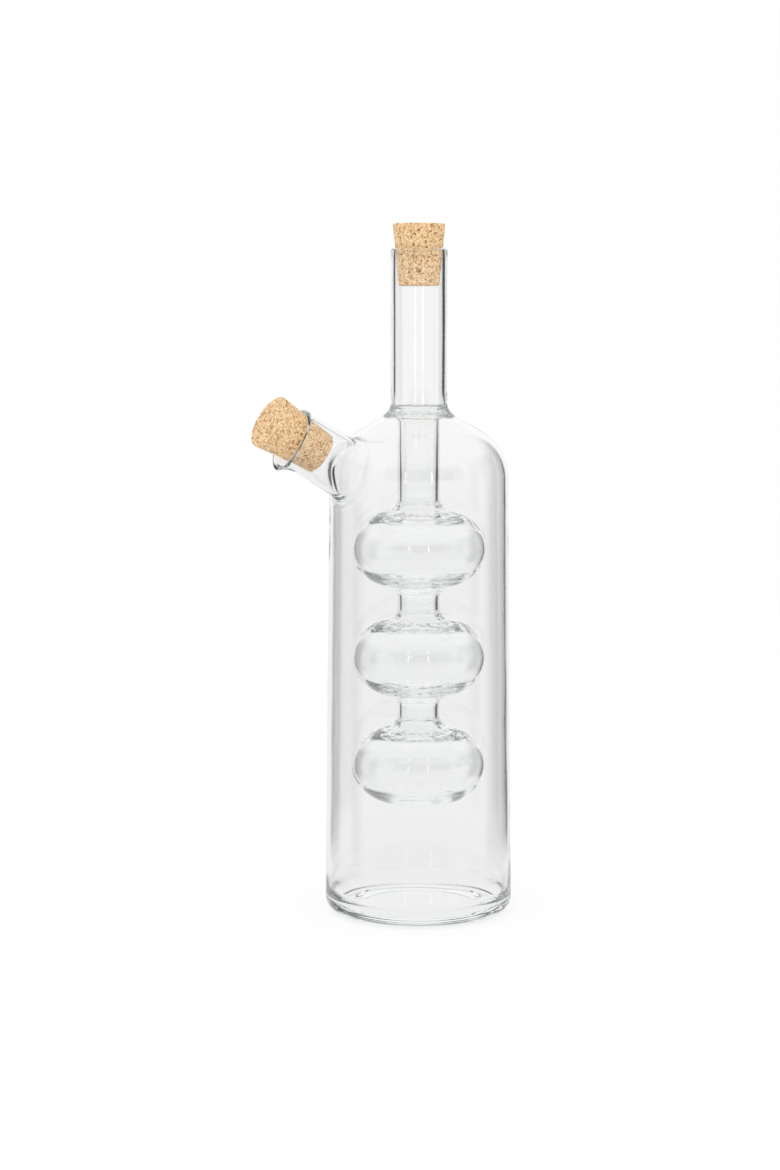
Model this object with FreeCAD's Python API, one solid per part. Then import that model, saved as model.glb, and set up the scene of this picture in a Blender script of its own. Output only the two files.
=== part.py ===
import FreeCAD, Part

import math
import os

# A hand-blown oil and vinegar cruet. One fused glass piece holds two liquids: the outer bottle
# with its slanted spout, and inside it a long tube with bulbs that hangs from the neck.
# A tapered cork closes the neck and another closes the spout.
# Lengths are in millimetres, and slope, elevation and tilt in degrees.
# The foot stands on z = 0, the bottle's axis is Z and the spout leans towards -X.

# Outer bottle
BODY_FOOT_RADIUS = 36.9
BODY_TOP_RADIUS = 34.7
BODY_WALL = 1.8
FOOT_EDGE_RADIUS = 5.5
FOOT_THICKNESS = 3.6
FLOOR_CORNER_RADIUS = 7.0
PUNT_RADIUS = 25.6
PUNT_DEPTH = 1.4
PUNT_CROWN_RADIUS = 18.0
PUNT_BLEND = 24.0
SHOULDER_SLOPE = 30.0
SHOULDER_RADIUS = 21.0

# Neck
NECK_RADIUS = 11.0
NECK_WALL = 1.8
NECK_ROOT_HEIGHT = 197.0
NECK_ROOT_FILLET = 6.5
RIM_HEIGHT = 259.5
RIM_ROUND = 0.7

# Inner vessel, sealed into the root of the neck
TUBE_RADIUS = 8.35
INNER_WALL = 1.3
SEAL_RISE = 0.5
SEAL_DROP = 3.0
SEAL_FLARE = 0.9
SEAL_FLARE_HEIGHT = 7.0
SEAL_FLARE_ROUND = 14.0
SEAL_BLEND = 2.0
SEAL_FILLET = 2.5

# Bulbs: a steep side, a flatter shoulder above and below it, and a waist where the tube goes on
BULB_COUNT = 3
BULB_PITCH = 42.7
TOP_BULB_DROP = 53.6
BULB_RADIUS = 26.4
BULB_SIDE_HALF_HEIGHT = 4.8
BULB_SHOULDER_RADIUS = 19.3
BULB_SHOULDER_HALF_HEIGHT = 13.2
BULB_SHOULDER_ROUND = 17.0
WAIST_HALF_HEIGHT = 15.9
WAIST_FILLET = 5.0
BULB_POLE_HALF_HEIGHT = 16.6
BULB_POLE_RADIUS = 6.3
BULB_POLE_ROUND = 34.0

# Spout
SPOUT_RADIUS = 11.1
SPOUT_ROOT_RADIUS = 11.7
SPOUT_WALL = 1.7
SPOUT_ELEVATION = 30.0
SPOUT_DROP = 40.5
SPOUT_REACH = 65.0
SPOUT_ROOT_FILLET = 6.5
SPOUT_START = 24.0
LIP_LENGTH = 11.0
LIP_PULL = 3.2
LIP_SHARPNESS = 6
SPOUT_RIM_TILT = 3.0
LIP_POINTS = 24

# Corks: how far each stands out, and how much wider its top and narrower its foot is than its seat
CORK_CLEARANCE = 0.05
CORK_EDGE = 0.5
CORK_PRESS_ROUND = 10.0
NECK_CORK_LENGTH = 23.9
NECK_CORK_PROUD = 9.6
NECK_CORK_FLARE = 1.05
NECK_CORK_TAPER = 1.25
SPOUT_CORK_LENGTH = 24.6
SPOUT_CORK_PROUD = 10.7
SPOUT_CORK_FLARE = 1.35
SPOUT_CORK_TAPER = 1.25

# How close two places count as one, and the share of a wall that one edge's rounding may take
MATCH = 0.01
ROUNDING_SHARE = 0.4

# Worked out from the sizes above
NECK_BORE = NECK_RADIUS - NECK_WALL
TUBE_BORE = TUBE_RADIUS - INNER_WALL
SPOUT_BORE = SPOUT_RADIUS - SPOUT_WALL
SPOUT_CROSSING_HEIGHT = NECK_ROOT_HEIGHT - SPOUT_DROP
SEAL_TOP_HEIGHT = NECK_ROOT_HEIGHT + SEAL_RISE
RIM_EDGE = min(RIM_ROUND, ROUNDING_SHARE * min(NECK_WALL, SPOUT_WALL))
ORIGIN = FreeCAD.Vector(0, 0, 0)
UP = FreeCAD.Vector(0, 0, 1)


def tangent_arc(before, corner, after, radius):
    """Start, middle and end of the arc that rounds one corner of a profile."""
    towards_before = (before - corner).normalize()
    towards_after = (after - corner).normalize()
    half = math.acos(max(-1.0, min(1.0, towards_before.dot(towards_after)))) / 2
    reach = radius / math.tan(half)
    bisector = (towards_before + towards_after).normalize()
    centre = corner + bisector * (radius / math.sin(half))
    return (
        corner + towards_before * reach,
        centre - bisector * radius,
        corner + towards_after * reach,
    )


def fitted_roundings(points, roundings):
    """The roundings, each made smaller where its arc would run into the next one."""
    count = len(points)
    lengths = [(points[(i + 1) % count] - points[i]).Length for i in range(count)]
    reaches = []
    for i, rounding in enumerate(roundings):
        turn = (points[i] - points[i - 1]).getAngle(points[(i + 1) % count] - points[i])
        reaches.append(rounding * math.tan(turn / 2))
    shares = [min(1, lengths[i] / max(reaches[i] + reaches[(i + 1) % count], MATCH)) for i in range(count)]
    return [rounding * min(shares[i - 1], shares[i]) for i, rounding in enumerate(roundings)]


def revolved(corners):
    """Solid turned about Z from corners (radius, height, rounding) of a closed half profile."""
    points = [FreeCAD.Vector(r, 0, z) for r, z, _ in corners]
    roundings = fitted_roundings(points, [rounding for _, _, rounding in corners])
    edges = []
    first = None
    last = None
    for i, rounding in enumerate(roundings):
        corner = points[i]
        if rounding:
            start, middle, end = tangent_arc(
                points[i - 1], corner, points[(i + 1) % len(points)], rounding
            )
        else:
            start, end = corner, corner
        if last is not None and (start - last).Length > MATCH / 100:
            edges.append(Part.LineSegment(last, start).toShape())
        if rounding:
            edges.append(Part.Arc(start, middle, end).toShape())
        first = first or start
        last = end
    edges.append(Part.LineSegment(last, first).toShape())
    return Part.Face(Part.Wire(edges)).revolve(ORIGIN, UP, 360)


def shoulder_height(radius):
    """Height of the outer shoulder's straight cone at a radius."""
    return NECK_ROOT_HEIGHT - (radius - NECK_RADIUS) * math.tan(math.radians(SHOULDER_SLOPE))


def bottle_outside():
    """The bottle's outer skin as a full solid: foot, body, shoulder and neck."""
    return revolved([
        (0, PUNT_DEPTH, 0),
        (PUNT_CROWN_RADIUS, PUNT_DEPTH, PUNT_BLEND),
        (PUNT_RADIUS, 0, 0),
        (BODY_FOOT_RADIUS, 0, FOOT_EDGE_RADIUS),
        (BODY_TOP_RADIUS, shoulder_height(BODY_TOP_RADIUS), SHOULDER_RADIUS),
        (NECK_RADIUS, NECK_ROOT_HEIGHT, NECK_ROOT_FILLET),
        (NECK_RADIUS, RIM_HEIGHT, RIM_EDGE),
        (0, RIM_HEIGHT, 0),
    ])


def outer_chamber():
    """The space inside the outer bottle, from its floor up to the seal under the neck."""
    cone_drop = BODY_WALL / math.cos(math.radians(SHOULDER_SLOPE))
    top_radius = BODY_TOP_RADIUS - BODY_WALL
    return revolved([
        (0, FOOT_THICKNESS, 0),
        (BODY_FOOT_RADIUS - BODY_WALL, FOOT_THICKNESS, FLOOR_CORNER_RADIUS),
        (top_radius, shoulder_height(top_radius) - cone_drop, SHOULDER_RADIUS - BODY_WALL),
        (TUBE_RADIUS, shoulder_height(TUBE_RADIUS) - cone_drop, 0),
        (0, shoulder_height(TUBE_RADIUS) - cone_drop, 0),
    ])


def parallel(corners, wall):
    """The profile that runs inside another at a constant distance, from its first to its last corner."""
    points = [FreeCAD.Vector(r, 0, z) for r, z, _ in corners]
    inner = []
    for i, (_, _, rounding) in enumerate(corners):
        before = (points[i] - points[i - 1]).normalize() if i else None
        after = (points[i + 1] - points[i]).normalize() if i + 1 < len(points) else None
        along = before or after
        across = (after or before) + along
        across = FreeCAD.Vector(across.z, 0, -across.x).normalize()
        square = FreeCAD.Vector(along.z, 0, -along.x)
        moved = points[i] + across * (wall / across.dot(square))
        turn = before.cross(after).y if before and after else 0
        change = -wall if turn > 0 else wall
        inner.append((moved.x, moved.z, rounding + change if rounding else 0))
    return inner


def side_round():
    """Radius that brings the side's upper and lower arcs together at the bulb's widest place."""
    run = BULB_RADIUS - BULB_SHOULDER_RADIUS
    rise = BULB_SHOULDER_HALF_HEIGHT - BULB_SIDE_HALF_HEIGHT
    turn = math.atan2(run, rise)
    return BULB_SIDE_HALF_HEIGHT / math.tan(turn / 2)


def bulb_profile(height):
    """Corners of one bulb's upper half, from the tube out to the side, at a height."""
    return [
        (TUBE_RADIUS, height + WAIST_HALF_HEIGHT, WAIST_FILLET),
        (BULB_SHOULDER_RADIUS, height + BULB_SHOULDER_HALF_HEIGHT, BULB_SHOULDER_ROUND),
        (BULB_RADIUS, height + BULB_SIDE_HALF_HEIGHT, side_round()),
    ]


def vessel_profile():
    """The bulbed tube's outside from the seal down to the pole of the lowest bulb."""
    corners = [(TUBE_RADIUS, shoulder_height(TUBE_RADIUS), 0)]
    for i in range(BULB_COUNT):
        height = NECK_ROOT_HEIGHT - TOP_BULB_DROP - i * BULB_PITCH
        upper = bulb_profile(height)
        lower = [(r, 2 * height - z, rounding) for r, z, rounding in reversed(upper)]
        corners += upper + lower
    corners.pop()
    foot = height - BULB_POLE_HALF_HEIGHT
    return corners + [(BULB_POLE_RADIUS, foot, BULB_POLE_ROUND), (0, foot, 0)]


def bulbed_tube(profile):
    """The solid inside a profile that runs from the seal down to the lowest bulb's pole."""
    return revolved([(0, profile[0][1], 0)] + profile)


def is_ring(edge, radius):
    """Whether an edge is a level full circle of this radius round Z."""
    box = edge.BoundBox
    return abs(edge.Length - 2 * math.pi * radius) < MATCH and box.ZLength < MATCH


def spout_placement():
    """From the spout's own frame, with Z along it and -X below it, to the bottle's frame."""
    lean = FreeCAD.Rotation(FreeCAD.Vector(0, 1, 0), SPOUT_ELEVATION - 90)
    return FreeCAD.Placement(FreeCAD.Vector(0, 0, SPOUT_CROSSING_HEIGHT), lean)


def lip_section(share, radius):
    """Closed outline of the spout at a share of the lip's length.

    It starts as a level circle. Towards the rim its underside is pulled out to a lip, and its
    plane tilts until it is the rim's own.
    """
    along = SPOUT_REACH - (1 - share) * LIP_LENGTH
    if not share:
        centre = FreeCAD.Vector(0, 0, along)
        return Part.Wire([Part.Circle(centre, UP, radius).toShape()])
    slope = share * math.tan(math.radians(SPOUT_RIM_TILT))
    points = []
    for i in range(LIP_POINTS):
        angle = 2 * math.pi * i / LIP_POINTS
        lobe = ((1 - math.cos(angle)) / 2) ** LIP_SHARPNESS
        reach = radius + share ** 2 * LIP_PULL * lobe
        x = reach * math.cos(angle)
        points.append(FreeCAD.Vector(x, reach * math.sin(angle), along - (SPOUT_RADIUS - x) * slope))
    curve = Part.BSplineCurve()
    curve.interpolate(Points=points, PeriodicFlag=True)
    return Part.Wire([curve.toShape()])


def lipped_tube(root_radius, radius, past_rim=0.0):
    """The spout as a solid in its own frame: a slightly tapered tube that ends in a pouring lip."""
    length = SPOUT_REACH - LIP_LENGTH - SPOUT_START
    tube = Part.makeCone(root_radius, radius, length, FreeCAD.Vector(0, 0, SPOUT_START), UP)
    sections = [lip_section(share, radius) for share in (0, 0.5, 1)]
    shape = tube.fuse(Part.makeLoft(sections, True, False))
    if past_rim:
        end = Part.Face(sections[-1]).extrude(FreeCAD.Vector(0, 0, past_rim))
        shape = shape.fuse(end)
    return shape


def root_edges(shape, bottle, spout):
    """The edges where the spout's skin runs out of the bottle's skin."""
    seam = bottle.Shells[0].section(spout.Shells[0])
    edges = []
    for edge in shape.Edges:
        if edge.Degenerated:
            continue
        middle = edge.valueAt((edge.FirstParameter + edge.LastParameter) / 2)
        if seam.distToShape(Part.Vertex(middle))[0] < MATCH:
            edges.append(edge)
    return edges


def joined(bottle, spout, fillet):
    """Bottle and spout as one solid, blended all round the spout's root."""
    spout.Placement = spout_placement()
    both = bottle.fuse(spout)
    return both.makeFillet(fillet, root_edges(both, bottle, spout))


def neck_bore():
    """The neck's bore, which narrows at the seal into the top of the inner tube."""
    past_rim = RIM_HEIGHT + NECK_WALL
    seal_foot = SEAL_TOP_HEIGHT - SEAL_DROP
    return revolved([
        (0, past_rim, 0),
        (0, seal_foot - SEAL_DROP, 0),
        (TUBE_BORE, seal_foot - SEAL_DROP, 0),
        (TUBE_BORE, seal_foot, SEAL_BLEND),
        (NECK_BORE + SEAL_FLARE, SEAL_TOP_HEIGHT, SEAL_BLEND),
        (NECK_BORE, SEAL_TOP_HEIGHT + SEAL_FLARE_HEIGHT, SEAL_FLARE_ROUND),
        (NECK_BORE, past_rim, 0),
    ])


def in_plane(edge, point, normal):
    """Whether an edge lies wholly in the plane through a point."""
    first, last = edge.FirstParameter, edge.LastParameter
    places = [edge.valueAt(first + (last - first) * share) for share in (0, 0.3, 0.6, 1)]
    return all(abs((place - point).dot(normal)) < MATCH for place in places)


def rim_edges(shape):
    """The sharp edges round the neck's bore and round both sides of the spout's mouth."""
    place = spout_placement()
    mouth = place.multVec(FreeCAD.Vector(SPOUT_RADIUS, 0, SPOUT_REACH))
    tilt = math.radians(SPOUT_RIM_TILT)
    along = place.Rotation.multVec(FreeCAD.Vector(-math.sin(tilt), 0, math.cos(tilt)))
    edges = [e for e in shape.Edges if not e.Degenerated]
    neck = [e for e in edges if is_ring(e, NECK_BORE) and abs(e.BoundBox.ZMin - RIM_HEIGHT) < MATCH]
    return neck + [e for e in edges if in_plane(e, mouth, along)]


def glass_vessel():
    """The one fused glass piece: outer bottle, spout and the bulbed tube sealed inside it."""
    spout = lipped_tube(SPOUT_ROOT_RADIUS, SPOUT_RADIUS)
    spout_bore = lipped_tube(SPOUT_ROOT_RADIUS - SPOUT_WALL, SPOUT_BORE, past_rim=SPOUT_WALL)
    outside = joined(bottle_outside(), spout, SPOUT_ROOT_FILLET)
    chamber = joined(outer_chamber(), spout_bore, SPOUT_ROOT_FILLET - SPOUT_WALL)
    profile = vessel_profile()
    glass = outside.cut(chamber).fuse(bulbed_tube(profile))
    seal = [e for e in glass.Edges if is_ring(e, TUBE_RADIUS)]
    glass = glass.makeFillet(SEAL_FILLET, seal)
    hollow = bulbed_tube(parallel(profile, INNER_WALL)).fuse(neck_bore())
    glass = glass.cut(hollow.removeSplitter())
    return glass.makeFillet(RIM_EDGE, rim_edges(glass))


def cork(bore, length, proud, flare, taper):
    """A tapered cork standing on Z with its small end down, seated just inside the rim of a bore."""
    seat = bore - CORK_CLEARANCE
    return revolved([
        (0, 0, 0),
        (seat - taper, 0, CORK_EDGE),
        (seat, length - proud - RIM_EDGE, CORK_PRESS_ROUND),
        (seat + flare, length, CORK_EDGE),
        (0, length, 0),
    ])


def neck_cork():
    """The cork in the neck, small end down."""
    shape = cork(NECK_BORE, NECK_CORK_LENGTH, NECK_CORK_PROUD, NECK_CORK_FLARE, NECK_CORK_TAPER)
    shape.translate(FreeCAD.Vector(0, 0, RIM_HEIGHT + NECK_CORK_PROUD - NECK_CORK_LENGTH))
    return shape


def spout_cork():
    """The cork in the spout's mouth, lying along the spout."""
    shape = cork(SPOUT_BORE, SPOUT_CORK_LENGTH, SPOUT_CORK_PROUD, SPOUT_CORK_FLARE, SPOUT_CORK_TAPER)
    shape.translate(FreeCAD.Vector(0, 0, SPOUT_REACH + SPOUT_CORK_PROUD - SPOUT_CORK_LENGTH))
    shape.Placement = spout_placement().multiply(shape.Placement)
    return shape


def main():
    """Write each piece of the cruet to its own STEP file."""
    os.makedirs("parts", exist_ok=True)
    pieces = {
        "glass_vessel": glass_vessel(),
        "neck_cork": neck_cork(),
        "spout_cork": spout_cork(),
    }
    for name, shape in pieces.items():
        solid = shape.Solids[0]
        solid.exportStep(f"parts/{name}.step")
        print(name, "valid", solid.isValid(), "volume", round(solid.Volume), "faces", len(solid.Faces))


if __name__ == "__main__":
    main()
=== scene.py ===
"""Oil and vinegar cruet: the looks of the glass vessel and its two corks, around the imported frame.

All sizes are in millimetres until a mesh is finished, and then in metres. The foot stands at height 0, the
bottle's axis is Z, and the spout leans towards -X.
"""

import logging
import math
from collections.abc import Callable, Sequence
from dataclasses import dataclass, field
from enum import Enum

import bmesh
import bpy
from mathutils import Euler, Matrix, Vector, noise


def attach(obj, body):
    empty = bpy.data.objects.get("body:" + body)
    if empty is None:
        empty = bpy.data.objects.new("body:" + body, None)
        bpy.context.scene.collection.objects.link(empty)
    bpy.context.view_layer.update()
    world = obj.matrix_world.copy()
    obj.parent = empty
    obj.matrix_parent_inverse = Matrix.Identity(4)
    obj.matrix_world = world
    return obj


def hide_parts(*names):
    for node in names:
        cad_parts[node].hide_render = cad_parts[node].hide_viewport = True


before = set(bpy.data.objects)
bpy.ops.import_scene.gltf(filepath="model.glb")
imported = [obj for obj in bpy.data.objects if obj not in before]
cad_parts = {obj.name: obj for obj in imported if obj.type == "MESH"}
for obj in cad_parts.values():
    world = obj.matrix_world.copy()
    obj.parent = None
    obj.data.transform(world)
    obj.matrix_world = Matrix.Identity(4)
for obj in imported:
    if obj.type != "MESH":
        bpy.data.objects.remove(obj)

MM = 0.001
FULL_TURN = 2 * math.pi
SAME_SPOT = 1e-3
STRAIGHT = 1e-4
PHOTO_LONG_SIDE = 1170
SENSOR = 36.0
LOG = logging.getLogger("cruet")

Row = tuple[float, float]
Shade = tuple[float, float, float]
Stops = tuple[tuple[float, float | Shade], ...]
Socket = bpy.types.NodeSocket
Paint = Socket | tuple[float, ...]


class Slot(Enum):
    """Names for the material slots of the glass and the cork."""

    GLASS = "glass"
    CORK = "cork"


@dataclass(frozen=True)
class Corner:
    """One corner of a turned outline, with the radius that rounds it."""

    radius: float
    height: float
    rounding: float = 0.0


@dataclass(frozen=True)
class Outline:
    """A half section that is turned about the upright axis, with its corners rounded."""

    corners: tuple[Corner, ...]
    arc_step: float = math.radians(6)
    shortest: float = 0.3
    longest: float = 5.0

    def bend(self, before: Vector, spot: Vector, after: Vector, rounding: float, step: float) -> list[Row]:
        """Rounds one corner.

        Args:
            before: the corner before it.
            spot: the corner.
            after: the corner after it.
            rounding: the radius that rounds it.
            step: the angle between two points of the arc.

        Returns:
            The arc's points, or the corner alone where it is sharp or the outline runs straight on.
        """
        inward = (spot - before).normalized()
        onward = (after - spot).normalized()
        turn = math.atan2(inward.cross(onward), inward.dot(onward))
        if not rounding or abs(turn) < STRAIGHT:
            return [tuple(spot)]
        side = math.copysign(1, turn)
        start = spot - inward * rounding * math.tan(abs(turn) / 2)
        centre = start + Vector((-inward.y, inward.x)) * side * rounding
        most = math.ceil(rounding * abs(turn) / self.shortest)
        count = max(2, min(math.ceil(abs(turn) / step), most))
        arc = []
        for i in range(count + 1):
            spoke = start - centre
            spoke.rotate(Matrix.Rotation(turn * i / count, 2))
            arc.append(tuple(centre + spoke))
        return arc

    def rounded(self, arc_step: float | None = None) -> list[Row]:
        """Rounds all the corners.

        Args:
            arc_step: the angle between two points of an arc, or the outline's own.

        Returns:
            Points as (radius, height), with the straight runs left whole.
        """
        step = arc_step or self.arc_step
        spots = [Vector((c.radius, c.height)) for c in self.corners]
        chain = [tuple(spots[0])]
        for before, spot, after, corner in zip(spots, spots[1:], spots[2:], self.corners[1:]):
            chain += self.bend(before, spot, after, corner.rounding, step)
        chain.append(tuple(spots[-1]))
        return [spot for i, spot in enumerate(chain) if not i or math.dist(spot, chain[i - 1]) > SAME_SPOT]

    def rows(self) -> list[Row]:
        """Returns the rounded outline with its long runs divided."""
        return divided(self.rounded(), self.longest)


def shares(count: int) -> list[float]:
    """Returns the even shares after 0, up to 1 itself."""
    return [i / count for i in range(1, count + 1)]


def divided(chain: Sequence[Row], longest: float) -> list[Row]:
    """Divides the long runs of a chain of points.

    Args:
        chain: the points.
        longest: the longest run that stays whole.

    Returns:
        The chain with the new points in it.
    """
    result = [chain[0]]
    for start, end in zip(chain, chain[1:]):
        for share in shares(max(1, math.ceil(math.dist(start, end) / longest))):
            result.append(tuple(a + (b - a) * share for a, b in zip(start, end)))
    return result


def offset_chain(chain: Sequence[Row], distance: Callable[[Row], float]) -> list[Row]:
    """Moves a chain of points sideways, to its right as it runs.

    Args:
        chain: the points as (radius, height).
        distance: tells how far a point moves.

    Returns:
        The moved points.
    """
    spots = [Vector(p) for p in chain]
    moved = []
    for i, spot in enumerate(spots):
        along = spots[min(i + 1, len(spots) - 1)] - spots[max(i - 1, 0)]
        along.normalize()
        shift = distance(chain[i])
        moved.append((spot.x + along.y * shift, spot.y - along.x * shift))
    return moved


def turned(bm: bmesh.types.BMesh, rows: Sequence[Row], segments: int) -> None:
    """Spins an outline about the upright axis into a mesh.

    Args:
        bm: the mesh that takes it.
        rows: the outline as (radius, height).
        segments: how many steps a full turn has.
    """
    verts = [bm.verts.new((radius, 0, height)) for radius, height in rows]
    edges = [bm.edges.new(pair) for pair in zip(verts, verts[1:])]
    bmesh.ops.spin(
        bm, geom=verts + edges, cent=(0, 0, 0), axis=(0, 0, 1), angle=FULL_TURN,
        steps=segments, use_merge=True, use_duplicate=False,
    )
    bmesh.ops.remove_doubles(bm, verts=bm.verts[:], dist=SAME_SPOT)


def poured(whole: bmesh.types.BMesh, part: bmesh.types.BMesh) -> None:
    """Adds one mesh to another.

    Args:
        whole: the mesh that grows.
        part: the mesh that is added, and freed.
    """
    mesh = bpy.data.meshes.new("part")
    part.to_mesh(mesh)
    part.free()
    whole.from_mesh(mesh)
    bpy.data.meshes.remove(mesh)


def finished(name: str, bm: bmesh.types.BMesh, finish: bpy.types.Material) -> bpy.types.Object:
    """Makes a smooth object from a mesh in millimetres.

    Args:
        name: the piece's name.
        bm: the mesh, which is freed.
        finish: its material.

    Returns:
        The object, at the origin.
    """
    bmesh.ops.scale(bm, vec=(MM, MM, MM), verts=bm.verts[:])
    bmesh.ops.recalc_face_normals(bm, faces=bm.faces[:])
    for face in bm.faces:
        face.smooth = True
    mesh = bpy.data.meshes.new(name)
    bm.to_mesh(mesh)
    bm.free()
    mesh.materials.append(finish)
    piece = bpy.data.objects.new(name, mesh)
    bpy.context.scene.collection.objects.link(piece)
    return piece


def blank_material(name: str) -> tuple[bpy.types.Material, bpy.types.NodeTree]:
    """Makes a material with an empty node tree.

    Args:
        name: the material's name.

    Returns:
        The material and its nodes.
    """
    material = bpy.data.materials.new(name)
    material.use_nodes = True
    material.node_tree.nodes.clear()
    return material, material.node_tree


class Wiring:
    """Short ways to add and join the nodes of one tree."""

    def __init__(self, tree: bpy.types.NodeTree) -> None:
        """Keeps the tree."""
        self.tree = tree

    def add(self, kind: str, values: dict | None = None, **settings: object) -> bpy.types.Node:
        """Adds a node.

        Args:
            kind: its type's name.
            values: what its input sockets are set to or joined to, by name or number.
            settings: its own properties.

        Returns:
            The node.
        """
        node = self.tree.nodes.new(kind)
        for key, value in settings.items():
            setattr(node, key, value)
        for key, value in (values or {}).items():
            if isinstance(value, Socket):
                self.tree.links.new(value, node.inputs[key])
            else:
                node.inputs[key].default_value = value
        return node

    def maths(self, operation: str, *values: float | Socket) -> Socket:
        """Adds a Math node and returns its result."""
        node = self.add("ShaderNodeMath", dict(enumerate(values)), operation=operation)
        return node.outputs[0]

    def mix(self, factor: float | Socket, first: Paint, second: Paint, blend: str = "MIX") -> Socket:
        """Mixes two colours.

        Args:
            factor: how much of the second there is.
            first: a colour with its alpha, or a socket.
            second: the other.
            blend: the way of mixing.

        Returns:
            The mixed colour's socket.
        """
        colours = {0: factor, 6: first, 7: second}
        return self.add("ShaderNodeMix", colours, data_type="RGBA", blend_type=blend).outputs[2]

    def ramp(self, factor: Socket, stops: Stops, ease: str = "LINEAR") -> Socket:
        """Adds a colour ramp.

        Args:
            factor: what drives it.
            stops: places from 0 to 1, each with a grey level or a colour.
            ease: how it goes from stop to stop.

        Returns:
            Its colour socket.
        """
        node = self.add("ShaderNodeValToRGB", {0: factor})
        node.color_ramp.interpolation = ease
        elements = node.color_ramp.elements
        while len(elements) < len(stops):
            elements.new(0.5)
        for element, (place, shade) in zip(elements, stops):
            element.position = place
            rgb = (shade,) * 3 if isinstance(shade, (int, float)) else shade
            element.color = (*rgb, 1)
        return node.outputs[0]


@dataclass(frozen=True)
class ClearGlass:
    """Borosilicate glass, clear with the faint green of a thick edge."""

    colour: Shade = (0.992, 0.995, 0.994)
    refraction: float = 1.47
    depth_colour: Shade = (0.15, 0.62, 0.45)
    depth_density: float = 1.0

    def material(self) -> bpy.types.Material:
        """Makes the glass.

        Returns:
            The material.
        """
        material, tree = blank_material("clear_glass")
        w = Wiring(tree)
        shader = w.add("ShaderNodeBsdfPrincipled", {
            "Base Color": (*self.colour, 1),
            "Roughness": 0.0,
            "IOR": self.refraction,
            "Transmission Weight": 1.0,
        })
        depth = w.add("ShaderNodeVolumeAbsorption", {
            "Color": (*self.depth_colour, 1), "Density": self.depth_density,
        })
        w.add("ShaderNodeOutputMaterial", {"Surface": shader.outputs[0], "Volume": depth.outputs[0]})
        return material


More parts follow.
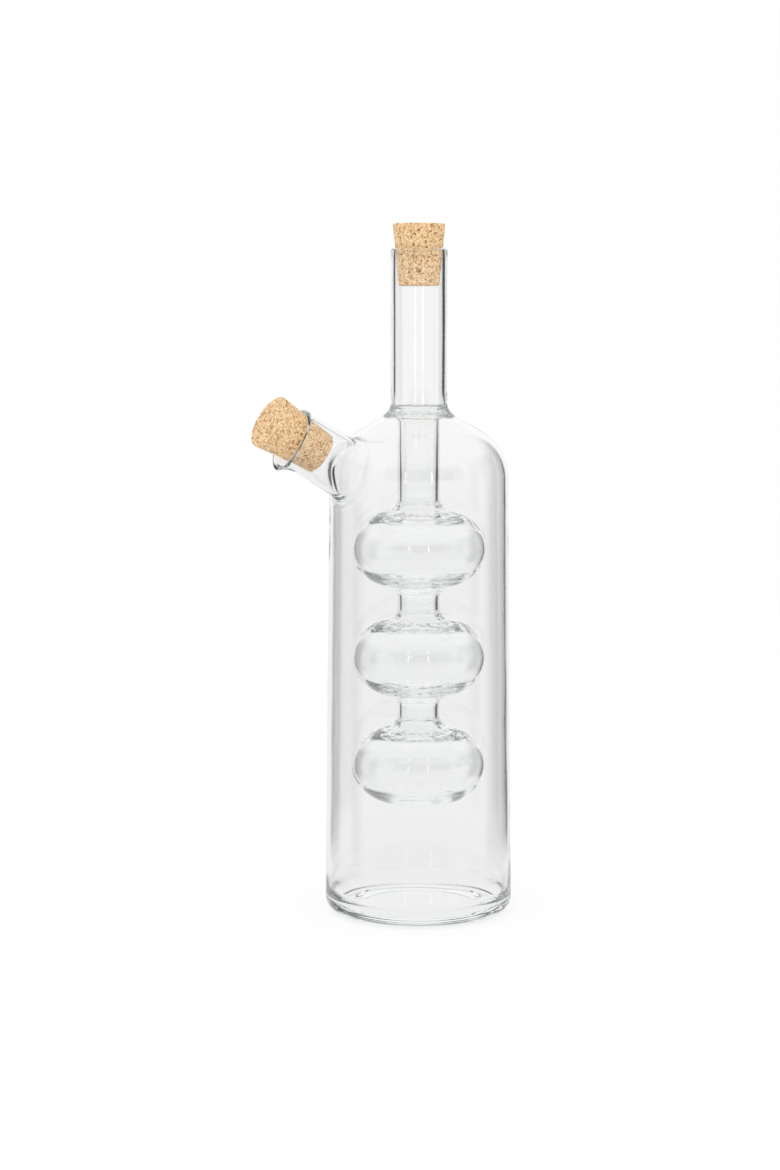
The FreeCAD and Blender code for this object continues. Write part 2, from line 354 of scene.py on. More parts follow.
@dataclass(frozen=True)
class GroundCork:
    """Cork pressed from grains: pale tan with darker bark crumbs, pits and a dry, rough skin."""

    name: str
    seed: float = 0.0
    grain: float = 1.45
    crumb: float = 0.62
    swirl: float = 1.1
    swirl_scale: float = 900.0
    speckle_scale: float = 3500.0
    speckle_height: float = 0.4
    bump: float = 0.15
    pit_shade: Shade = (0.20, 0.085, 0.03)
    grain_shades: Stops = (
        (0.0, (0.48, 0.22, 0.08)), (0.12, (0.74, 0.43, 0.19)), (0.4, (0.88, 0.58, 0.29)),
        (0.75, (0.95, 0.67, 0.37)), (1.0, (0.98, 0.75, 0.46)),
    )
    crumb_shades: Stops = (
        (0.0, (0.20, 0.07, 0.02)), (0.11, (0.48, 0.20, 0.06)), (0.2, (0.88, 0.56, 0.27)),
        (0.4, (0.97, 0.73, 0.44)), (1.0, (1.0, 0.79, 0.50)),
    )
    crumb_cover: Stops = ((0.3, 0.0), (0.5, 0.9))
    seam_shades: Stops = ((0.0, (0.70, 0.52, 0.38)), (0.09, (1.0, 1.0, 1.0)))
    speckles: Stops = ((0.3, 0.80), (0.7, 1.04))
    dryness: Stops = ((0.0, 0.72), (1.0, 0.9))

    def cells(self, w: Wiring, place: Socket, size: float, feature: str = "F1") -> bpy.types.Node:
        """Divides the cork into cells.

        Args:
            w: the tree that takes them.
            place: where they are looked up.
            size: how large a cell is.
            feature: what is measured of a cell.

        Returns:
            The pattern's node.
        """
        return w.add("ShaderNodeTexVoronoi", {"Vector": place, "Scale": 1 / MM / size}, feature=feature)

    def stirred(self, w: Wiring, place: Socket) -> Socket:
        """Bends the places, so that the cells get uneven edges.

        Args:
            w: the tree that takes the nodes.
            place: the places as they are.

        Returns:
            The bent places.
        """
        stir = w.add("ShaderNodeTexNoise", {"Vector": place, "Scale": self.swirl_scale, "Detail": 3.0})
        way = stir.outputs["Color"]
        bend = w.add("ShaderNodeVectorMath", {0: way, 1: (self.swirl * MM,) * 3}, operation="MULTIPLY")
        return w.add("ShaderNodeVectorMath", {0: place, 1: bend.outputs[0]}, operation="ADD").outputs[0]

    def material(self) -> bpy.types.Material:
        """Makes the cork.

        Returns:
            The material, which reads how deep in a pit a point is from the mesh.
        """
        material, tree = blank_material(self.name)
        w = Wiring(tree)
        centre = w.add("ShaderNodeTexCoord").outputs["Object"]
        place = w.add("ShaderNodeMapping", {0: centre, 1: (self.seed, self.seed, self.seed)}).outputs[0]
        bent = self.stirred(w, place)
        grain = w.add("ShaderNodeSeparateColor", {0: self.cells(w, bent, self.grain).outputs["Color"]})
        crumb = w.add("ShaderNodeSeparateColor", {0: self.cells(w, bent, self.crumb).outputs["Color"]})
        gaps = self.cells(w, bent, self.grain, "DISTANCE_TO_EDGE")
        seam = w.ramp(gaps.outputs["Distance"], self.seam_shades)
        base = w.ramp(grain.outputs[0], self.grain_shades)
        small = w.ramp(crumb.outputs[1], self.crumb_shades)
        mixed = w.mix(w.ramp(crumb.outputs[0], self.crumb_cover), base, small)
        seamed = w.mix(1.0, mixed, seam, "MULTIPLY")
        pit = w.add("ShaderNodeAttribute", attribute_name="pit")
        pitted = w.mix(pit.outputs["Fac"], seamed, (*self.pit_shade, 1))
        fine = w.add("ShaderNodeTexNoise", {"Vector": place, "Scale": self.speckle_scale, "Detail": 4.0})
        colour = w.mix(1.0, pitted, w.ramp(fine.outputs["Fac"], self.speckles), "MULTIPLY")
        height = w.maths("MULTIPLY_ADD", fine.outputs["Fac"], self.speckle_height, seam)
        bump = w.add("ShaderNodeBump", {"Strength": 0.5, "Distance": self.bump * MM, "Height": height})
        shader = w.add("ShaderNodeBsdfPrincipled", {
            "Base Color": colour, "Roughness": w.ramp(grain.outputs[1], self.dryness),
            "Normal": bump.outputs[0], "Specular IOR Level": 0.3, "Sheen Weight": 0.08,
        })
        w.add("ShaderNodeOutputMaterial", {"Surface": shader.outputs[0]})
        return material


@dataclass(frozen=True)
class Sleeve:
    """How one face of the spout's wall grows out of a skin of the bottle."""

    wall: float
    fillet: float
    side: int
    crest_gain: float = 0.0
    skin_share: Row = (0.5, 0.16)
    tube_share: Row = (0.577, 0.13)
    fullness: float = 0.61
    blend_rings: int = 9
    fillet_rings: int = 10
    tube_rings: int = 7
    lip_rings: int = 7
    rim_rings: int = 4

    def fillet_at(self, turn: float) -> float:
        """Returns the fillet's size at an angle round the spout, larger on the side of the neck."""
        return self.fillet * (1 + self.crest_gain * ((1 + math.cos(turn)) / 2) ** 2)

    def skin_reach(self, turn: float) -> float:
        """Returns how far from the tube's face the fillet starts on the skin."""
        return self.fillet_at(turn) * (self.skin_share[0] + self.skin_share[1] * math.sin(turn) ** 2)

    def tube_reach(self, turn: float) -> float:
        """Returns how far along the tube the fillet ends."""
        return self.fillet_at(turn) * (self.tube_share[0] + self.tube_share[1] * math.sin(turn) ** 2)

    def fillet_places(self, foot: Vector, level: Vector, corner: Vector, end: Vector) -> list[Vector]:
        """Draws the fillet as one smooth curve that leaves the skin and the tube along their faces.

        Args:
            foot: where it starts on the skin.
            level: the corner, moved into the skin's own plane at the foot.
            corner: the place where the tube's face meets the skin.
            end: where it ends on the tube.

        Returns:
            The places of its rings, without the foot.
        """
        near = foot + (level - foot) * self.fullness
        far = end + (corner - end) * self.fullness
        return [
            foot * (1 - t) ** 3 + near * 3 * t * (1 - t) ** 2 + far * 3 * t ** 2 * (1 - t) + end * t ** 3
            for t in shares(self.fillet_rings)
        ]


@dataclass(frozen=True)
class Spout:
    """The side spout: a tapered tube that leaves the shoulder and ends in a pulled lip."""

    crossing: float = 156.5
    elevation: float = 30.0
    root_start: float = 24.0
    root_gain: float = 0.6
    reach: float = 65.0
    lip_length: float = 11.0
    lip_pull: float = 3.2
    lip_sharpness: int = 6
    rim_tilt: float = 3.0
    outer_radius: float = 11.1
    rim_round: float = 0.68

    def frame_axes(self) -> tuple[Vector, Vector, Vector]:
        """Finds the spout's own directions.

        Returns:
            The directions along the spout, up across it and sideways.
        """
        lean = math.radians(self.elevation)
        along = Vector((-math.cos(lean), 0, math.sin(lean)))
        crest = Vector((math.sin(lean), 0, math.cos(lean)))
        return along, crest, Vector((0, 1, 0))

    def at(self, along: float, radius: float, turn: float) -> Vector:
        """Finds a point by its place round the spout's axis.

        Args:
            along: how far along the axis it is.
            radius: how far from the axis.
            turn: the angle round the axis, 0 on the side towards the neck.

        Returns:
            The point.
        """
        axis, crest, side = self.frame_axes()
        spoke = (crest * math.cos(turn) + side * math.sin(turn)) * radius
        return Vector((0, 0, self.crossing)) + axis * along + spoke

    def turn_of(self, point: Vector) -> float:
        """Finds the angle of a point round the spout's axis.

        Args:
            point: the point.

        Returns:
            The angle, 0 on the side towards the neck.
        """
        _, crest, side = self.frame_axes()
        arm = point - Vector((0, 0, self.crossing))
        return math.atan2(arm.dot(side), arm.dot(crest))

    def lip_start(self) -> float:
        """Returns where along the axis the plain tube ends."""
        return self.reach - self.lip_length

    def radius(self, along: float, wall: float) -> float:
        """Returns the tube's radius at a place along it, a wall's thickness in from the outside."""
        share = (self.lip_start() - along) / (self.lip_start() - self.root_start)
        return self.outer_radius - wall + self.root_gain * min(1.0, max(0.0, share))

    def on_tube(self, along: float, wall: float, turn: float) -> Vector:
        """Returns the point of the tube's face at a place along it and an angle round it."""
        return self.at(along, self.radius(along, wall), turn)

    def lip(self, share: float, wall: float, turn: float, inset: float = 0.0, short: float = 0.0) -> Vector:
        """Finds a point of the lip.

        Args:
            share: how far along the lip, from 0 to 1.
            wall: how far in from the outside.
            turn: the angle round the axis.
            inset: how far the rim's rounding has come in.
            short: how far short of that section it stays.

        Returns:
            The point.
        """
        lobe = ((1 - math.cos(turn)) / 2) ** self.lip_sharpness
        radius = self.outer_radius - wall + share ** 2 * self.lip_pull * lobe
        slope = share * math.tan(math.radians(self.rim_tilt))
        along = self.reach - (1 - share) * self.lip_length
        along -= (self.outer_radius - radius * math.cos(turn)) * slope
        return self.at(along - short, radius - inset, turn)

    def places(self, start: float, turn: float, sleeve: Sleeve) -> list[Vector]:
        """Runs one lane along the tube and the lip and half round the rim.

        Args:
            start: where along the axis the fillet ends.
            turn: the lane's angle round the axis.
            sleeve: which face of the spout it is on.

        Returns:
            The places of its rings, without the first.
        """
        wall = sleeve.wall
        whole = self.lip_start() - start
        plain = 1 - self.rim_round / self.lip_length
        places = [self.on_tube(start + whole * share, wall, turn) for share in shares(sleeve.tube_rings)]
        places += [self.lip(plain * share, wall, turn) for share in shares(sleeve.lip_rings)]
        for share in shares(sleeve.rim_rings):
            bend = math.pi / 2 * share
            inset = sleeve.side * self.rim_round * (1 - math.cos(bend))
            places.append(self.lip(1, wall, turn, inset, self.rim_round * (1 - math.sin(bend))))
        return places


@dataclass
class Skin:
    """One closed face of the bottle's glass, with a window that the spout grows from.

    Where a line along the spout comes out of the face is found by halving a search range.
    """

    outline: Outline
    segments: int
    spout: Spout
    window_foot: float = 151.0
    window_head: float = 192.0
    window_rows: int = 26
    window_half_angle: float = math.radians(39)
    window_run: float = 2.0
    window_depth: float = 1.0
    profile_step: float = math.radians(1)
    probe: float = 0.2
    search: Row = (20.0, 62.0)
    halvings: int = 40
    profile: list[Row] = field(init=False)

    def __post_init__(self) -> None:
        """Keeps the outline up to the neck's root, in fine steps, to look radii up in."""
        fine = self.outline.rounded(self.profile_step)
        top = next(i for i, row in enumerate(fine) if row[1] > self.window_head)
        self.profile = fine[:top + 1]

    def body_rows(self) -> list[Row]:
        """Divides the outline, with closer rows where the window is.

        Returns:
            The rows as (radius, height).
        """
        outline = self.outline.rounded()
        chain = outline[:1]
        for start, end in zip(outline, outline[1:]):
            if start[1] < self.window_foot < end[1]:
                share = (self.window_foot - start[1]) / (end[1] - start[1])
                split = tuple(a + (b - a) * share for a, b in zip(start, end))
                chain += divided((start, split), self.outline.longest)[1:]
                chain += divided((split, end), self.window_run)[1:]
            else:
                near = max(start[1], end[1]) > self.window_foot and min(start[1], end[1]) < self.window_head
                chain += divided((start, end), self.window_run if near else self.outline.longest)[1:]
        return chain

    def radius_at(self, height: float) -> float:
        """Looks up the bottle's radius.

        Args:
            height: a height between the foot and the neck.

        Returns:
            The radius there.
        """
        for (r0, z0), (r1, z1) in zip(self.profile, self.profile[1:]):
            if z0 <= height <= z1 and z1 > z0:
                return r0 + (r1 - r0) * (height - z0) / (z1 - z0)
        return self.profile[-1][0]

    def on_skin(self, angle: float, height: float) -> Vector:
        """Returns the point of the skin at an angle from -X and a height."""
        radius = self.radius_at(height)
        return Vector((-radius * math.cos(angle), radius * math.sin(angle), height))

    def outward(self, point: Vector) -> Vector:
        """Finds the direction straight out of the skin.

        Args:
            point: a point of the skin.

        Returns:
            The direction.
        """
        slope = self.radius_at(point.z + self.probe) - self.radius_at(point.z - self.probe)
        flat = Vector((point.x, point.y, 0)).normalized() * 2 * self.probe
        return Vector((flat.x, flat.y, -slope)).normalized()

    def crossing(self, turn: float, gain: float, wall: float) -> float:
        """Finds where a line along the spout comes out of the skin.

        Args:
            turn: the line's angle round the spout.
            gain: how far outside the tube's face it runs.
            wall: how far in that face is from the spout's outside.

        Returns:
            The place along the spout's axis.
        """
        low, high = self.search
        for _ in range(self.halvings):
            middle = (low + high) / 2
            point = self.spout.at(middle, self.spout.radius(middle, wall) + gain, turn)
            if math.hypot(point.x, point.y) < self.radius_at(point.z):
                low = middle
            else:
                high = middle
        return (low + high) / 2

    def open_window(self, bm: bmesh.types.BMesh) -> list[bmesh.types.BMVert]:
        """Takes the faces out where the spout is.

        Args:
            bm: the skin's mesh.

        Returns:
            The vertices of the hole's rim in turn order round the spout.
        """
        rows = self.body_rows()
        start = next(i for i, row in enumerate(rows) if row[1] >= self.window_foot - SAME_SPOT)
        foot, top = rows[start][1], rows[start + self.window_rows][1]

        def in_window(face: bmesh.types.BMFace) -> bool:
            """Tells whether a face lies in the window.

            Args:
                face: a face of the skin.

            Returns:
                Whether it does.
            """
            middle = face.calc_center_median()
            angle = math.atan2(middle.y, -middle.x)
            near = math.hypot(middle.x, middle.y) > self.radius_at(middle.z) - self.window_depth
            return foot < middle.z < top and abs(angle) < self.window_half_angle and near

        gone = [face for face in bm.faces if in_window(face)]
        bmesh.ops.delete(bm, geom=gone, context="FACES")
        rim = [vert for vert in bm.verts if vert.is_boundary]
        rim.sort(key=lambda vert: self.spout.turn_of(vert.co))
        return rim

    def lane(self, turn: float, start: Row, sleeve: Sleeve) -> list[Vector]:
        """Works out one lane of a sleeve, from the skin to the spout's rim.

        Args:
            turn: the lane's angle round the spout.
            start: the angle and height of its place on the window's rim.
            sleeve: which face of the spout it is on.

        Returns:
            The lane's place in each ring.
        """
        spout, wall = self.spout, sleeve.wall
        gain = sleeve.skin_reach(turn)
        along = self.crossing(turn, gain, wall)
        foot = spout.at(along, spout.radius(along, wall) + gain, turn)
        angle, height = start
        sweep, rise = math.atan2(foot.y, -foot.x) - angle, foot.z - height
        blend = [self.on_skin(angle + sweep * s, height + rise * s) for s in shares(sleeve.blend_rings)]
        meet = self.crossing(turn, 0.0, wall)
        corner = spout.on_tube(meet, wall, turn)
        straight = meet + sleeve.tube_reach(turn)
        normal = self.outward(foot)
        level = corner - normal * (corner - foot).dot(normal)
        fillet = sleeve.fillet_places(foot, level, corner, spout.on_tube(straight, wall, turn))
        return blend + fillet + spout.places(straight, turn, sleeve)

    def grow(self, bm: bmesh.types.BMesh, sleeve: Sleeve) -> None:
        """Opens the window and draws its rim out along the spout, ring by ring.

        Args:
            bm: the skin's mesh.
            sleeve: which face of the spout it is.
        """
        lane = bm.verts.layers.int.new("lane")
        rim = self.open_window(bm)
        count = len(rim)
        first = min(range(count), key=lambda i: abs(self.spout.turn_of(rim[i].co)))
        lanes = []
        for i, vert in enumerate(rim):
            vert[lane] = i + 1
            turn = FULL_TURN * ((i - first) % count) / count
            lanes.append(self.lane(turn, (math.atan2(vert.co.y, -vert.co.x), vert.co.z), sleeve))
        edges = [edge for edge in bm.edges if edge.is_boundary]
        for ring in zip(*lanes):
            made = bmesh.ops.extrude_edge_only(bm, edges=edges)["geom"]
            edges = [item for item in made if isinstance(item, bmesh.types.BMEdge) and item.is_boundary]
            for item in made:
                if isinstance(item, bmesh.types.BMVert):
                    item.co = ring[item[lane] - 1]


@dataclass(frozen=True)
class Bulb:
    """The outside of one bulb: a steep side, a flatter shoulder above and below it, and its waists."""

    radius: float = 26.4
    side: float = 4.8
    shoulder_radius: float = 19.3
    shoulder: float = 13.2
    shoulder_round: float = 17.0
    waist_radius: float = 8.35
    waist: float = 15.9
    waist_round: float = 5.0

    def corners(self, middle: float) -> list[Corner]:
        """Places the bulb's corners.

        Args:
            middle: the height of its middle.

        Returns:
            The corners from the upper waist to the lower one.
        """
        slope = math.atan2(self.radius - self.shoulder_radius, self.shoulder - self.side)
        half = (
            (self.waist_radius, self.waist, self.waist_round),
            (self.shoulder_radius, self.shoulder, self.shoulder_round),
            (self.radius, self.side, self.side / math.tan(slope / 2)),
        )
        upper = [Corner(radius, middle + height, rounding) for radius, height, rounding in half]
        lower = [Corner(radius, middle - height, rounding) for radius, height, rounding in half]
        return upper + lower[::-1]


@dataclass(frozen=True)
class Ripples:
    """Fine ripples inside the blown tube, where heavy glass was drawn in at a shoulder or in the seal."""

    depth: float = 0.9
    waves: float = 4.5
    stretch: float = 0.15
    heaviest_radius: float = 10.0
    fade: float = 2.5
    radii: Row = (1.0, 20.0)
    heights: Row = (38.0, 180.0)
    seal_radius: float = 10.5
    seal_heights: Row = (193.0, 200.0)
    seal_share: float = 0.8

    def share(self, radius: float, height: float) -> float:
        """Tells how strong the ripples are at a place.

        Args:
            radius: its distance from the axis.
            height: its height.

        Returns:
            The strength, from 0 to 1.
        """
        if self.seal_heights[0] < height < self.seal_heights[1] and radius < self.seal_radius:
            return self.seal_share
        if self.radii[0] < radius < self.radii[1] and self.heights[0] < height < self.heights[1]:
            return math.exp(-(((radius - self.heaviest_radius) / self.fade) ** 2))
        return 0.0

    def press(self, bm: bmesh.types.BMesh) -> None:
        """Moves the vertices of the tube's inside up and down.

        Args:
            bm: the bottle's outer face, which runs on inside the tube.
        """
        for vert in bm.verts:
            radius = math.hypot(vert.co.x, vert.co.y)
            heavy = self.share(radius, vert.co.z)
            if heavy:
                around = Vector((vert.co.x, vert.co.y, 0)) * (self.waves / radius)
                swell = noise.noise(around + Vector((0, 0, vert.co.z * self.stretch)))
                vert.co.z += self.depth * heavy * swell


@dataclass(frozen=True)
class Waves:
    """The slight waves of hand-worked glass, inwards only on the outside."""

    depth: float = 0.05
    slow: float = 0.045
    quick: float = 0.11
    quick_share: float = 0.5
    least: float = 0.75

    def press(self, bm: bmesh.types.BMesh) -> None:
        """Moves the vertices along their normals.

        Args:
            bm: the whole vessel's mesh.
        """
        bm.normal_update()
        for vert in bm.verts:
            swell = noise.noise(vert.co * self.slow) + self.quick_share * noise.noise(vert.co * self.quick)
            vert.co -= vert.normal * self.depth * (self.least + swell)


@dataclass
class GlassVessel:
    """The blown glass: a bottle with a neck and a spout, and three bulbs sealed inside it."""

    segments: int = 120
    # The outer bottle, its foot and its chamber
    foot_radius: float = 36.9
    foot_edge: float = 5.5
    punt: tuple[Corner, ...] = (Corner(0, 1.4), Corner(18, 1.4, 24), Corner(25.6, 0, 8))
    top_radius: float = 34.7
    shoulder: float = 183.32
    shoulder_round: float = 21.0
    body_wall: float = 1.8
    floor: float = 3.6
    floor_corner: float = 7.0
    chamber_shoulder: float = 182.28
    chamber_root: Corner = Corner(8.35, 196.45, 2.5)
    # The neck, and the seal of the tube in its root
    neck_radius: float = 11.0
    neck_bore: float = 9.2
    neck_root: float = 197.0
    neck_fillet: float = 6.5
    rim: float = 259.5
    rim_round: float = 0.68
    seal: tuple[Corner, ...] = (
        Corner(9.2, 204.5, 14), Corner(10.1, 198.3, 4.5), Corner(7.05, 193.6, 5), Corner(7.05, 190.5),
    )
    seal_foot: float = 192.0
    # The bulbs by the heights of their middles, and the closed end below them
    bulb: Bulb = Bulb()
    bulbs: tuple[float, ...] = (143.4, 100.7, 58.0)
    pole_radius: float = 6.3
    pole_depth: float = 16.6
    pole_round: float = 34.0
    # The blown tube's wall by the radius of its outside, and how the closed end counts
    walls: tuple[Row, ...] = ((8.4, 1.6), (9.5, 2.9), (11.0, 3.3), (15.0, 2.5), (20.0, 1.7), (24.0, 1.2))
    closed_depth: float = 12.0
    closed_radius: float = 13.0
    spout: Spout = Spout()
    ripples: Ripples = Ripples()
    waves: Waves = Waves()

    def outside(self) -> Outline:
        """Draws the outside, from the punt under the floor up over the rim and down into the seal.

        Returns:
            The outline.
        """
        return Outline((
            *self.punt,
            Corner(self.foot_radius, 0, self.foot_edge),
            Corner(self.top_radius, self.shoulder, self.shoulder_round),
            Corner(self.neck_radius, self.neck_root, self.neck_fillet),
            Corner(self.neck_radius, self.rim, self.rim_round),
            Corner(self.neck_bore, self.rim, self.rim_round),
            *self.seal,
        ))

    def chamber(self) -> Outline:
        """Draws the outer chamber: its floor and wall, then the outside of the tube and bulbs.

        Returns:
            The outline.
        """
        wall = self.body_wall
        corners = [
            Corner(0, self.floor),
            Corner(self.foot_radius - wall, self.floor, self.floor_corner),
            Corner(self.top_radius - wall, self.chamber_shoulder, self.shoulder_round - wall),
            self.chamber_root,
        ]
        for middle in self.bulbs:
            corners += self.bulb.corners(middle)
        bottom = self.bulbs[-1] - self.pole_depth
        corners[-1] = Corner(self.pole_radius, bottom, self.pole_round)
        return Outline((*corners, Corner(0, bottom)))

    def tube_wall(self, row: Row) -> float:
        """Tells how thick the blown tube is: thin where a bulb is wide, and heavy where it was drawn in.

        Args:
            row: a point of the tube's outside as (radius, height).

        Returns:
            The thickness there.
        """
        closed = row[1] < self.bulbs[-1] - self.closed_depth
        radius = max(row[0], self.closed_radius) if closed else row[0]
        for (r0, t0), (r1, t1) in zip(self.walls, self.walls[1:]):
            if r0 <= radius < r1:
                return t0 + (t1 - t0) * (radius - r0) / (r1 - r0)
        return self.walls[0][1] if radius < self.walls[0][0] else self.walls[-1][1]

    def outside_rows(self, skin: Skin) -> list[Row]:
        """Divides the outside and runs it on inside the tube, down to the pole of the lowest bulb.

        Args:
            skin: the bottle's outer face.

        Returns:
            The rows as (radius, height).
        """
        rows = skin.body_rows()
        around = self.chamber().rounded()
        heights = [row[1] for row in around]
        begin = next(i for i in range(1, len(around)) if heights[i] < self.seal_foot < heights[i - 1])
        tube = offset_chain(around, self.tube_wall)[begin:]
        tube[-1] = (0.0, tube[-1][1])
        return rows[:-1] + divided([rows[-1], *tube], skin.outline.longest)[1:]

    def build(self, finish: bpy.types.Material) -> bpy.types.Object:
        """Blows the vessel.

        Args:
            finish: the glass.

        Returns:
            The piece.
        """
        whole = bmesh.new()
        outside = Skin(self.outside(), self.segments, self.spout)
        part = bmesh.new()
        turned(part, self.outside_rows(outside), self.segments)
        self.ripples.press(part)
        outside.grow(part, Sleeve(wall=0.0, fillet=6.5, side=1))
        poured(whole, part)
        chamber = Skin(self.chamber(), self.segments, self.spout)
        part = bmesh.new()
        turned(part, chamber.body_rows(), self.segments)
        chamber.grow(part, Sleeve(wall=1.7, fillet=2.4, side=-1, crest_gain=2.2))
        poured(whole, part)
        rims = [edge for edge in whole.edges if edge.is_boundary]
        bmesh.ops.bridge_loops(whole, edges=rims)
        bmesh.ops.recalc_face_normals(whole, faces=whole.faces[:])
        self.waves.press(whole)
        still_open = sum(edge.is_boundary for edge in whole.edges)
        LOG.info("vessel: %d faces, %d open edges", len(whole.faces), still_open)
        piece = finished("vessel_glass", whole, finish)
        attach(piece, "vessel")
        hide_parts("glass_vessel")
        return piece


@dataclass
class Cork:
    """A tapered cork of pressed grains, set in a mouth of the vessel."""

    name: str
    node: str
    body: str
    foot_radius: float
    seat_radius: float
    top_radius: float
    length: float
    proud: float
    foot: Matrix
    seed: float
    # The outline, with a waist where the rim presses it
    edge: float = 0.5
    press_round: float = 10.0
    rim_round: float = 0.68
    segments: int = 168
    shortest_run: float = 0.2
    row_step: float = 0.42
    # The skin: seams between uneven grains, grains at different levels, and a few pits
    grain: float = 1.5
    swirl: float = 0.7
    swirl_scale: float = 0.8
    seam_width: float = 0.22
    seam_depth: float = 0.07
    level_pick: float = 7.31
    level_depth: float = 0.05
    pit_pick: float = 3.17
    pit_rarity: float = 0.9
    pit_radius: float = 0.5
    pit_depth: float = 0.45
    pit_darkness: float = 2.2

    def outline(self) -> Outline:
        """Draws the half section, small end down.

        Returns:
            The outline.
        """
        return Outline((
            Corner(0, 0), Corner(self.foot_radius, 0, self.edge),
            Corner(self.seat_radius, self.length - self.proud - self.rim_round, self.press_round),
            Corner(self.top_radius, self.length, self.edge), Corner(0, self.length),
        ), shortest=self.shortest_run, longest=self.row_step)

    def roughen(self, bm: bmesh.types.BMesh) -> None:
        """Sinks the seams between grains and a few pits into the skin, and some grains below others.

        Args:
            bm: the cork's mesh.
        """
        # Unseeded, the noise's vectors would differ from run to run
        noise.seed_set(int(self.seed))
        pit = bm.verts.layers.float.new("pit")
        bm.normal_update()
        shift = Vector((self.seed, -self.seed, 2 * self.seed))
        for vert in bm.verts:
            bent = vert.co + shift + self.swirl * noise.noise_vector(vert.co * self.swirl_scale + shift)
            distances, spots = noise.voronoi(bent / self.grain)
            seam = max(0.0, 1 - (distances[1] - distances[0]) / self.seam_width)
            level = abs(noise.cell(spots[0] * self.level_pick))
            hole = max(0.0, noise.cell(spots[0] * self.pit_pick) - self.pit_rarity) / (1 - self.pit_rarity)
            hole *= max(0.0, 1 - distances[0] / self.pit_radius)
            vert[pit] = min(1.0, hole * self.pit_darkness)
            sink = self.seam_depth * seam + self.level_depth * level + self.pit_depth * hole
            vert.co -= vert.normal * sink

    def build(self) -> bpy.types.Object:
        """Presses the cork, sets it in its mouth and makes it ride with its stopper.

        Returns:
            The piece.
        """
        bm = bmesh.new()
        turned(bm, self.outline().rows(), self.segments)
        bmesh.ops.recalc_face_normals(bm, faces=bm.faces[:])
        self.roughen(bm)
        bmesh.ops.transform(bm, matrix=self.foot, verts=bm.verts[:])
        LOG.info("%s: %d faces", self.name, len(bm.faces))
        piece = finished(self.name, bm, GroundCork(self.name + "_grain", seed=self.seed * MM).material())
        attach(piece, self.body)
        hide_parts(self.node)
        return piece


def upright_foot(height: float) -> Matrix:
    """Returns the place of a cork whose small end is at a height in the neck."""
    return Matrix.Translation((0, 0, height))


def spout_foot(spout: Spout, along: float) -> Matrix:
    """Finds the place of a cork in the spout.

    Args:
        spout: the spout.
        along: how far along its axis the cork's small end is.

    Returns:
        The cork's place.
    """
    axis, crest, side = spout.frame_axes()
    turn = Matrix((crest, side, axis)).transposed().to_4x4()
    return Matrix.Translation(spout.at(along, 0, 0)) @ turn


@dataclass(frozen=True)
class Panel:
    """A white panel of the sweep: the direction of its middle, its level, half width and soft edge."""

    middle: float
    level: float
    half: float
    soft: float


@dataclass(frozen=True)
class Lamp:
    """A soft lamp, in metres and watts, and whether the glass shows it."""

    name: str
    place: tuple[float, float, float]
    size: Row
    power: float
    shown: bool


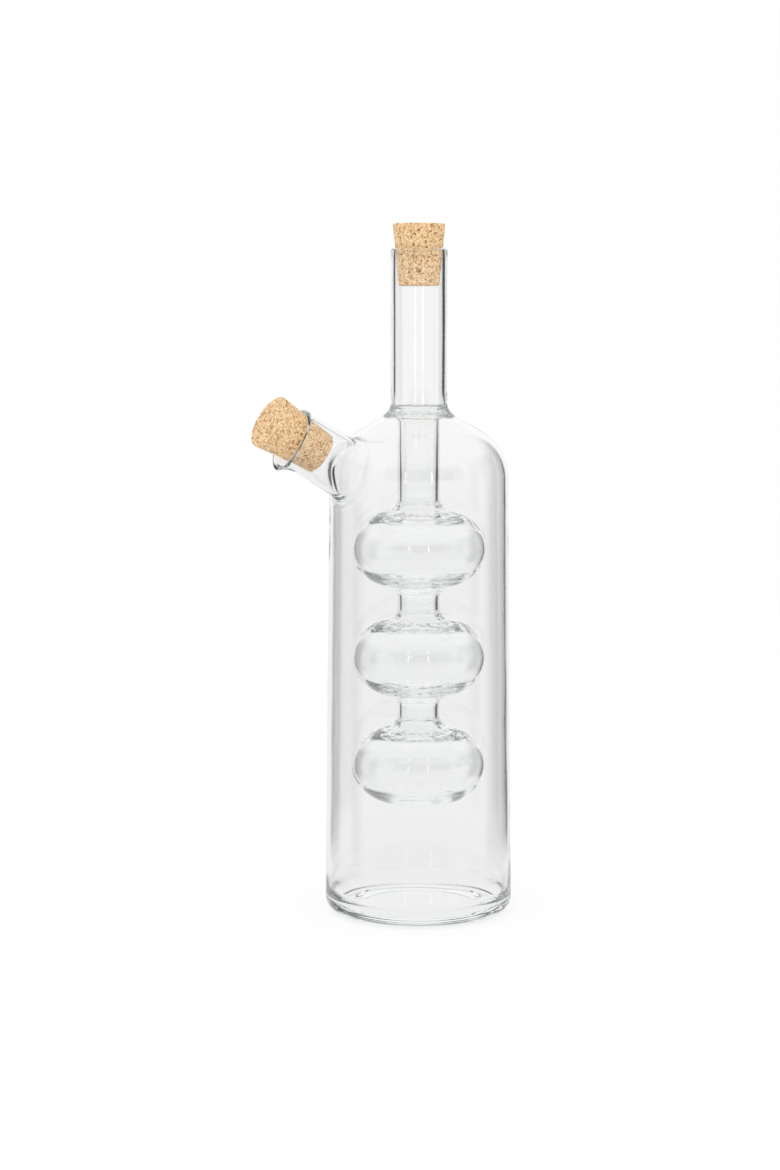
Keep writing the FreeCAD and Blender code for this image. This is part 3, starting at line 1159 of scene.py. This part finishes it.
@dataclass(frozen=True)
class Studio:
    """The white sweep, its light and the camera. Directions are in degrees, places in metres."""

    # The camera
    focal_pixels: float = 2386.0
    camera_place: tuple[float, float, float] = (-0.4745, -0.7994, 0.2329)
    pitch: float = 83.615
    heading: float = -30.0
    middle: tuple[float, float, float] = (0.0, 0.0, 0.13)
    # The light of the world: plain for the cork and the card, and panels, flags and a wall for the glass
    bounces: int = 64
    daylight: float = 1.05
    through_glass: float = 1.8
    flag: float = 0.04
    panels: tuple[Panel, ...] = (
        Panel(-90, 0.9, 11, 8), Panel(-45, 1.0, 8, 9), Panel(27, 1.0, 29, 7), Panel(135, 0.9, 11, 8),
    )
    wall: Stops = ((-180, 0.95), (-78, 0.95), (-66, 0.0), (110, 0.0), (121, 0.95))
    panels_by_height: Stops = ((0.0, 0.8), (0.25, 0.86), (0.45, 0.88), (0.475, 0.94), (0.71, 1.0))
    wall_by_height: Stops = ((0.40, 1.0), (0.43, 0.85), (0.51, 0.85), (0.54, 0.0))
    floor_and_ceiling: Stops = ((0.25, 0.88), (0.35, 0.0), (0.69, 0.0), (0.79, 0.9))
    # The floor: a card that fades to white, and what the glass sees of it
    floor_radius: float = 0.42
    floor_segments: int = 96
    card: float = 0.86
    table: float = 0.86
    fading_white: float = 1.06
    card_fade: Stops = ((0.3, 0.7), (0.95, 1.0))
    table_fade: Stops = ((0.25, 0.0), (0.42, 1.0))
    # The lamps
    rig: tuple[Lamp, ...] = (
        Lamp("left_strip", (-1.05, -0.95, 0.42), (0.05, 0.5), 0.35, shown=True),
        Lamp("right_strip", (-0.33, -1.36, 0.42), (0.05, 0.5), 0.35, shown=True),
        Lamp("ceiling", (-0.35, -0.35, 1.5), (1.0, 1.0), 2.0, shown=False),
    )

    def camera(self) -> None:
        """Sets the camera at the photograph's angle."""
        lens = bpy.data.cameras.new("studio_camera")
        lens.sensor_width = SENSOR
        lens.lens = self.focal_pixels / PHOTO_LONG_SIDE * SENSOR
        lens.clip_start = 0.01
        camera = bpy.data.objects.new("studio_camera", lens)
        camera.location = self.camera_place
        camera.rotation_euler = Euler((math.radians(self.pitch), 0, math.radians(self.heading)))
        bpy.context.scene.collection.objects.link(camera)
        bpy.context.scene.camera = camera

    def sight(self, w: Wiring) -> tuple[Socket, Socket]:
        """Tells what a ray is for.

        Args:
            w: the tree that takes the nodes.

        Returns:
            Whether the camera looks straight along it, and whether it looks by way of glass.
        """
        path = w.add("ShaderNodeLightPath")
        shiny = w.maths("MAXIMUM", path.outputs["Is Glossy Ray"], path.outputs["Is Transmission Ray"])
        unscattered = w.maths("LESS_THAN", path.outputs["Diffuse Depth"], 0.5)
        return path.outputs["Is Camera Ray"], w.maths("MULTIPLY", shiny, unscattered)

    def around(self, w: Wiring, x: Socket, y: Socket) -> tuple[Socket, Socket]:
        """Adds the light of the sweep by direction: white panels with grey flags between them.

        Args:
            w: the tree that takes it.
            x: the direction's part along X.
            y: its part along Y.

        Returns:
            The panels' level, and the level of the white wall behind the camera.
        """
        share = w.maths("MULTIPLY_ADD", w.maths("ARCTAN2", x, y), 1 / FULL_TURN, 0.5)
        levels = [(-180.0, self.flag)]
        for panel in self.panels:
            near, far = panel.half, panel.half + panel.soft
            levels += [(panel.middle - far, self.flag), (panel.middle - near, panel.level)]
            levels += [(panel.middle + near, panel.level), (panel.middle + far, self.flag)]
        panels, wall = (
            w.ramp(share, tuple(((angle + 180) / 360, level) for angle, level in stops))
            for stops in (levels, self.wall)
        )
        return panels, wall

    def world(self) -> None:
        """Lights the set: white where the camera looks, and a sweep with grey flags for the glass."""
        world = bpy.data.worlds.new("sweep")
        world.use_nodes = True
        world.node_tree.nodes.clear()
        w = Wiring(world.node_tree)
        direction = w.add("ShaderNodeTexCoord").outputs["Generated"]
        parts = w.add("ShaderNodeSeparateXYZ", {0: direction})
        panels, wall = self.around(w, parts.outputs[0], parts.outputs[1])
        rise = w.maths("MULTIPLY_ADD", parts.outputs[2], 0.5, 0.5)
        lit_panels = w.maths("MULTIPLY", panels, w.ramp(rise, self.panels_by_height))
        lit_wall = w.maths("MULTIPLY", wall, w.ramp(rise, self.wall_by_height))
        sides = w.maths("MAXIMUM", lit_panels, lit_wall)
        sweep = w.maths("MAXIMUM", sides, w.ramp(rise, self.floor_and_ceiling))
        looking, clear = self.sight(w)
        glass = w.add("ShaderNodeLightPath").outputs["Is Transmission Ray"]
        plain = w.maths("MULTIPLY_ADD", glass, self.through_glass - self.daylight, self.daylight)
        seen = w.mix(looking, w.mix(clear, plain, sweep), (1, 1, 1, 1))
        light = w.add("ShaderNodeBackground", {"Color": seen, "Strength": 1.0})
        w.add("ShaderNodeOutputWorld", {"Surface": light.outputs[0]})
        bpy.context.scene.world = world

    def lamps(self) -> None:
        """Hangs two narrow soft lamps, for streaks on the glass, and a wide one, for shape on the corks."""
        for lamp in self.rig:
            light = bpy.data.lights.new(lamp.name, "AREA")
            light.shape = "RECTANGLE"
            light.size, light.size_y = lamp.size
            light.energy = lamp.power
            hung = bpy.data.objects.new(lamp.name, light)
            hung.location = lamp.place
            aim = Vector(self.middle) - Vector(lamp.place)
            hung.rotation_euler = aim.to_track_quat("-Z", "Y").to_euler()
            hung.visible_glossy = hung.visible_transmission = lamp.shown
            bpy.context.scene.collection.objects.link(hung)

    def floor(self) -> None:
        """Lays a pale round floor that fades into the white around it."""
        material, tree = blank_material("pale_floor")
        w = Wiring(tree)
        place = w.add("ShaderNodeTexCoord").outputs["Object"]
        away = w.add("ShaderNodeVectorMath", {0: place}, operation="LENGTH").outputs["Value"]
        reach = w.maths("DIVIDE", away, self.floor_radius)
        looking, clear = self.sight(w)
        card = w.add("ShaderNodeBsdfDiffuse", {"Color": (self.card, self.card, self.card, 1)})
        bright = self.fading_white
        white = w.add("ShaderNodeEmission", {"Color": (bright, bright, bright, 1)})
        share = w.maths("MULTIPLY", looking, w.ramp(reach, self.card_fade, "EASE"))
        faded = w.add("ShaderNodeMixShader", {0: share, 1: card.outputs[0], 2: white.outputs[0]})
        table = w.add("ShaderNodeEmission", {"Color": (self.table, self.table, self.table, 1)})
        open_air = w.add("ShaderNodeBsdfTransparent")
        through = w.add("ShaderNodeMixShader", {
            0: w.ramp(reach, self.table_fade), 1: table.outputs[0], 2: open_air.outputs[0],
        })
        both = w.add("ShaderNodeMixShader", {0: clear, 1: faded.outputs[0], 2: through.outputs[0]})
        w.add("ShaderNodeOutputMaterial", {"Surface": both.outputs[0]})
        bm = bmesh.new()
        radius = self.floor_radius / MM
        bmesh.ops.create_circle(bm, cap_ends=True, radius=radius, segments=self.floor_segments)
        finished("floor", bm, material)

    def render_depth(self) -> None:
        """Lets light pass the many walls of glass that stand one behind the other."""
        cycles = bpy.context.scene.cycles
        cycles.max_bounces = cycles.transmission_bounces = cycles.glossy_bounces = self.bounces
        bpy.context.scene.view_settings.view_transform = "Standard"


def main() -> None:
    """Makes the studio, then the vessel and its corks."""
    logging.basicConfig(level=logging.INFO)
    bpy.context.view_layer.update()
    studio = Studio()
    studio.camera()
    studio.world()
    studio.lamps()
    studio.floor()
    studio.render_depth()
    vessel = GlassVessel()
    vessel.build(ClearGlass().material())
    corks = (
        Cork("neck_stopper_cork", "neck_cork", "neck_stopper", foot_radius=7.9, seat_radius=9.15,
             top_radius=10.2, length=23.9, proud=9.6, foot=upright_foot(245.2), seed=3.0),
        Cork("spout_stopper_cork", "spout_cork", "spout_stopper", foot_radius=8.1, seat_radius=9.35,
             top_radius=10.7, length=24.6, proud=10.7, foot=spout_foot(vessel.spout, 51.1), seed=11.0),
    )
    for cork in corks:
        cork.build()


if __name__ == "__main__":
    main()
